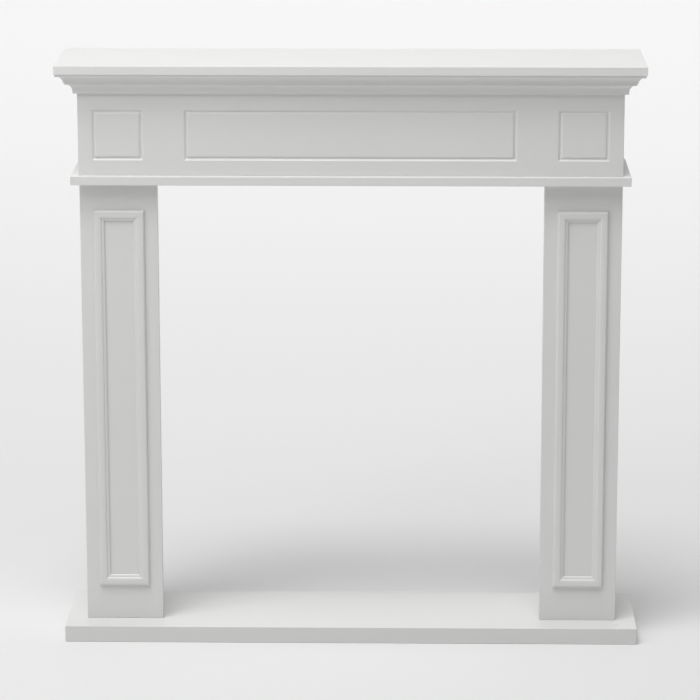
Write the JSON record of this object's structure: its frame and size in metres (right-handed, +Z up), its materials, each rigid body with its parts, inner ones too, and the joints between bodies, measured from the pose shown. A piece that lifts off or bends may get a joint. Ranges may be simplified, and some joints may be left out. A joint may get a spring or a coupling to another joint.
{
  "type": "fireplace mantelpiece",
  "caption": "White fireplace mantelpiece: a shelf on a mitred crown moulding, a frieze with routed panels, a plain ledge, boxed legs with framed panels and a broad hearth board.",
  "frame": {"origin": "on the floor, under the middle of the hearth board", "axes": "+Z up, +Y from the room towards the wall, +X to the right as seen from the room"},
  "size_m": [1.05, 0.21, 1.07],
  "materials": {
    "white_lacquer": "satin white lacquer on fibreboard",
    "moulding_lacquer": "satin white lacquer on moulded fibreboard"
  },
  "bodies": {
    "root": {"hearth_board": "white_lacquer", "leg_left_front": "white_lacquer", "leg_left_outer": "white_lacquer", "leg_left_inner": "white_lacquer", "panel_left_top": "moulding_lacquer", "panel_left_right": "moulding_lacquer", "panel_left_bottom": "moulding_lacquer", "panel_left_left": "moulding_lacquer", "leg_right_front": "white_lacquer", "leg_right_outer": "white_lacquer", "leg_right_inner": "white_lacquer", "panel_right_top": "moulding_lacquer", "panel_right_right": "moulding_lacquer", "panel_right_bottom": "moulding_lacquer", "panel_right_left": "moulding_lacquer", "ledge_board": "white_lacquer", "frieze_front": "white_lacquer", "frieze_left": "white_lacquer", "frieze_right": "white_lacquer", "crown_front": "moulding_lacquer", "crown_left": "moulding_lacquer", "crown_right": "moulding_lacquer", "mantel_shelf": "white_lacquer"}
  },
  "joints": []
}
